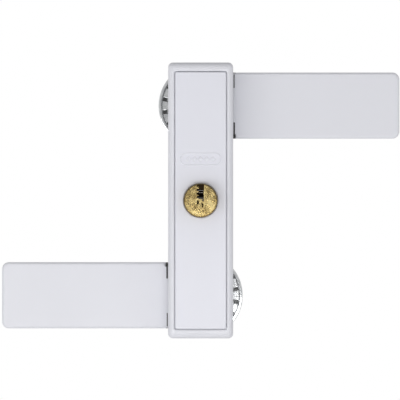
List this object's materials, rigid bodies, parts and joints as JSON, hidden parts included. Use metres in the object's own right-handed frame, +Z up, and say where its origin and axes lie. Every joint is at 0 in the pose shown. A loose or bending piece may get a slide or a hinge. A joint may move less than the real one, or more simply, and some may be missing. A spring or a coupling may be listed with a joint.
{
  "type": "keyed window lock",
  "caption": "Keyed window lock for a pair of casements: two swinging steel bars on round hubs, held by bolts that a push-in cylinder drives.",
  "frame": {"origin": "centre of the back face of the base plate, the face that lies on the window frame, in line with the cylinder's axis", "axes": "+Z up along the case, +X to the right as seen from the room, and +Y into the window frame, so the cylinder's face looks along -Y"},
  "size_m": [0.2026, 0.0385, 0.14],
  "materials": {
    "white_paint": "satin white powder coat on die-cast zinc and steel",
    "white_plastic": "satin-gloss white moulded cover",
    "brass": "turned and tumbled brass",
    "zinc": "bright die-cast zinc",
    "steel": "zinc-plated steel",
    "spring_steel": "oiled spring steel",
    "bronze": "sintered bronze",
    "black_plastic": "glass-filled black polyamide"
  },
  "bodies": {
    "root": {"base_plate": "steel", "case_housing": "white_paint", "cover_plate": "white_plastic", "cylinder_guide": "zinc", "bolt_guide": "black_plastic", "guide_screw_1": "steel", "guide_screw_2": "steel", "upper_pivot_post": "steel", "upper_thrust_washer": "steel", "upper_disc_spring": "spring_steel", "upper_retaining_ring": "spring_steel", "upper_case_screw": "steel", "lower_pivot_post": "steel", "lower_thrust_washer": "steel", "lower_disc_spring": "spring_steel", "lower_retaining_ring": "spring_steel", "lower_case_screw": "steel", "upper_bolt_spring": "spring_steel", "lower_bolt_spring": "spring_steel"},
    "upper_arm": {"upper_bar": "white_paint", "upper_hub": "zinc", "upper_bush": "bronze", "upper_rivet_1": "steel", "upper_rivet_2": "steel", "upper_rivet_3": "steel"},
    "lower_arm": {"lower_bar": "white_paint", "lower_hub": "zinc", "lower_bush": "bronze", "lower_rivet_1": "steel", "lower_rivet_2": "steel", "lower_rivet_3": "steel"},
    "cylinder": {"cylinder_body": "brass", "wedge_yoke": "steel"},
    "plug": {"cylinder_plug": "brass", "locking_cam": "steel"},
    "wafer_pack": {"wafer_1": "zinc", "wafer_2": "zinc", "wafer_3": "zinc", "wafer_4": "zinc", "wafer_5": "zinc"},
    "upper_bolt": {"upper_locking_bolt": "steel"},
    "lower_bolt": {"lower_locking_bolt": "steel"}
  },
  "joints": [
    {"name": "upper_bar_swing", "type": "hinge", "parent": "root", "child": "upper_arm", "pos_m": [0, -0.0088, 0.0484], "axis": [0, -1, 0], "range_deg": [0, 90]},
    {"name": "lower_bar_swing", "type": "hinge", "parent": "root", "child": "lower_arm", "pos_m": [0, -0.0088, -0.0484], "axis": [0, -1, 0], "range_deg": [0, 90]},
    {"name": "cylinder_push", "type": "slide", "parent": "root", "child": "cylinder", "axis": [0, 1, 0], "range_m": [0, 0.006], "stiffness_N_per_m": 700, "springref_m": -0.003},
    {"name": "key_turn", "type": "hinge", "parent": "cylinder", "child": "plug", "pos_m": [0, -0.0372, 0], "axis": [0, 1, 0], "range_deg": [0, 90]},
    {"name": "wafer_drop", "type": "slide", "parent": "plug", "child": "wafer_pack", "axis": [0, 0, -1], "range_m": [0, 0.0016], "stiffness_N_per_m": 60, "springref_m": -0.002},
    {"name": "upper_bolt_slide", "type": "slide", "parent": "root", "child": "upper_bolt", "axis": [0, 0, 1], "range_m": [0, 0.004], "deforming": ["upper_bolt_spring"]},
    {"name": "lower_bolt_slide", "type": "slide", "parent": "root", "child": "lower_bolt", "axis": [0, 0, -1], "range_m": [0, 0.004], "deforming": ["lower_bolt_spring"]}
  ],
  "couplings": [
    {"joint": "upper_bolt_slide", "follows": "cylinder_push", "ratio": 0.6666},
    {"joint": "lower_bolt_slide", "follows": "cylinder_push", "ratio": 0.6666}
  ]
}
